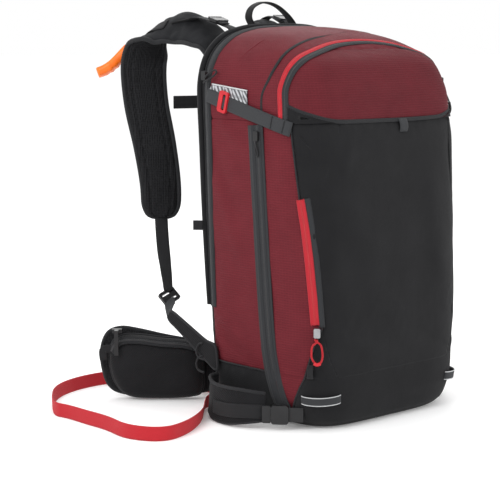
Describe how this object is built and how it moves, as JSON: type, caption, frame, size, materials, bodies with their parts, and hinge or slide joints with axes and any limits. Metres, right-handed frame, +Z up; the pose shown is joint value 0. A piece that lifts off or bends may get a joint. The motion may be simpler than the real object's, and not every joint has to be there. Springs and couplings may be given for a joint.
{
  "type": "ski backpack",
  "caption": "Ski touring backpack with an airbag trigger, a back-panel opening, padded harness, pocketed hip wings, ski loops and a leg strap.",
  "frame": {"origin": "middle of the flat base that the pack stands on", "axes": "+Z up along the wearer's back, +Y towards the wearer, +X to the wearer's right"},
  "size_m": [0.5826, 0.5152, 0.5852],
  "materials": {
    "maroon_ripstop": "matte ripstop weave",
    "black_softshell": "matte stretch-woven",
    "black_fabric": "matte coated pack cloth",
    "back_mesh": "matte spacer mesh over foam",
    "strap_fabric": "matte fabric over foam",
    "lining": "light lining cloth",
    "charcoal_webbing": "matte woven tape",
    "black_webbing": "matte woven tape",
    "red_zip": "satin coated tape",
    "red_webbing": "matte woven tape",
    "reflective": "reflective print",
    "black_plastic": "satin moulded",
    "red_plastic": "satin moulded",
    "orange_plastic": "satin moulded",
    "slider_metal": "bright plated",
    "stay_alloy": "satin",
    "housing_plastic": "matte moulded"
  },
  "bodies": {
    "bag": {"base_panel": "black_fabric", "front_panel": "black_softshell", "side_panel_left": "maroon_ripstop", "side_panel_right": "maroon_ripstop", "lid_pocket": "maroon_ripstop", "top_panel": "maroon_ripstop", "lumbar_panel": "black_fabric", "pocket_divider": "lining", "airbag_shelf": "lining", "side_zips": "charcoal_webbing", "front_zip": "red_zip", "lid_zip": "charcoal_webbing", "back_zip": "charcoal_webbing", "compression_straps": "charcoal_webbing", "strap_patches": "reflective", "hook_buckles": "red_plastic", "tool_loops": "charcoal_webbing", "lumbar_pad": "back_mesh", "anchor_wings": "black_fabric", "ski_loop_left": "black_fabric", "ski_loop_right": "black_fabric", "loop_buckle_sockets": "black_plastic", "airbag_pack": "lining", "blower_housing": "housing_plastic", "power_pack": "housing_plastic", "lower_webbing": "black_webbing", "leg_strap": "red_webbing"},
    "back": {"back_panel": "black_fabric", "framesheet": "black_plastic", "frame_stays": "stay_alloy", "back_foam": "back_mesh", "harness_yoke": "black_fabric", "shoulder_strap_left": "strap_fabric", "shoulder_strap_right": "strap_fabric", "strap_webbing": "black_webbing", "ladder_locks": "black_plastic", "load_lifters": "black_webbing", "lifter_buckles": "black_plastic", "haul_loop": "black_webbing", "sternum_webbing": "black_webbing", "sternum_buckle_socket": "black_plastic"},
    "left_wing": {"hip_wing_left": "back_mesh", "hip_pocket_left": "black_fabric", "hip_belt_left": "black_webbing"},
    "right_wing": {"hip_wing_right": "back_mesh", "hip_pocket_right": "black_fabric", "hip_belt_right": "black_webbing"},
    "hip_zip_slider_left": {"hip_zip_slider_left": "black_plastic"},
    "hip_zip_slider_right": {"hip_zip_slider_right": "black_plastic"},
    "loop_buckle_plug_left": {"loop_buckle_plug_left": "black_plastic"},
    "loop_buckle_plug_right": {"loop_buckle_plug_right": "black_plastic"},
    "sternum_buckle_plug": {"sternum_buckle_plug": "black_plastic"},
    "trigger_handle": {"trigger_handle": "orange_plastic"},
    "front_zip_slider": {"front_zip_slider": "slider_metal"},
    "front_zip_pull": {"front_zip_pull": "red_zip"},
    "lid_zip_slider": {"lid_zip_slider": "black_plastic"},
    "back_zip_slider_left": {"back_zip_slider_left": "black_plastic"},
    "side_zip_slider_left": {"side_zip_slider_left": "black_plastic"},
    "side_zip_slider_right": {"side_zip_slider_right": "black_plastic"},
    "blower_impeller": {"blower_impeller": "housing_plastic"}
  },
  "joints": [
    {"name": "back_panel_opening", "type": "hinge", "parent": "bag", "child": "back", "pos_m": [0, 0.114, 0.15], "axis": [-1, 0, 0], "range_deg": [0, 22], "deforming": ["lower_webbing"]},
    {"name": "left_wing_swing", "type": "hinge", "parent": "bag", "child": "left_wing", "pos_m": [-0.098, 0.138, 0.06], "axis": [0, 0, 1], "range_deg": [-10, 10], "stiffness_Nm_per_rad": 0.4},
    {"name": "right_wing_swing", "type": "hinge", "parent": "bag", "child": "right_wing", "pos_m": [0.098, 0.138, 0.06], "axis": [0, 0, -1], "range_deg": [-10, 10], "stiffness_Nm_per_rad": 0.4},
    {"name": "trigger_pull", "type": "slide", "parent": "back", "child": "trigger_handle", "axis": [-0.2999, 0.5498, -0.7796], "range_m": [0, 0.03], "stiffness_N_per_m": 400},
    {"name": "front_zip_run", "type": "slide", "parent": "bag", "child": "front_zip_slider", "axis": [-0.057, 0.103, 0.993], "range_m": [0, 0.16]},
    {"name": "front_pull_swing", "type": "hinge", "parent": "front_zip_slider", "child": "front_zip_pull", "pos_m": [-0.1472, -0.125, 0.1305], "axis": [-0.6822, 0.7312, 0], "range_deg": [0, 70]},
    {"name": "lid_zip_run", "type": "slide", "parent": "bag", "child": "lid_zip_slider", "axis": [0, 0, 1], "range_m": [-0.03, 0]},
    {"name": "back_zip_run", "type": "slide", "parent": "bag", "child": "back_zip_slider_left", "axis": [0, -0.0255, -0.9997], "range_m": [0, 0.31]},
    {"name": "left_side_zip_run", "type": "slide", "parent": "bag", "child": "side_zip_slider_left", "axis": [0, -0.0833, -0.9965], "range_m": [0, 0.29]},
    {"name": "right_side_zip_run", "type": "slide", "parent": "bag", "child": "side_zip_slider_right", "axis": [0, -0.0833, -0.9965], "range_m": [0, 0.29]},
    {"name": "left_pocket_zip_run", "type": "slide", "parent": "left_wing", "child": "hip_zip_slider_left", "axis": [0.7312, -0.6822, 0], "range_m": [0, 0.074]},
    {"name": "right_pocket_zip_run", "type": "slide", "parent": "right_wing", "child": "hip_zip_slider_right", "axis": [-0.7312, -0.6822, 0], "range_m": [0, 0.074]},
    {"name": "left_loop_release", "type": "slide", "parent": "bag", "child": "loop_buckle_plug_left", "axis": [-0.6462, 0.7632, 0], "range_m": [0, 0.012]},
    {"name": "right_loop_release", "type": "slide", "parent": "bag", "child": "loop_buckle_plug_right", "axis": [0.6462, 0.7632, 0], "range_m": [0, 0.012]},
    {"name": "sternum_release", "type": "slide", "parent": "back", "child": "sternum_buckle_plug", "axis": [0.9718, -0.2359, 0], "range_m": [0, 0.02]},
    {"name": "impeller_spin", "type": "hinge", "parent": "bag", "child": "blower_impeller", "pos_m": [-0.084, 0.012, 0.453], "axis": [0, 0, 1], "continuous": true}
  ]
}
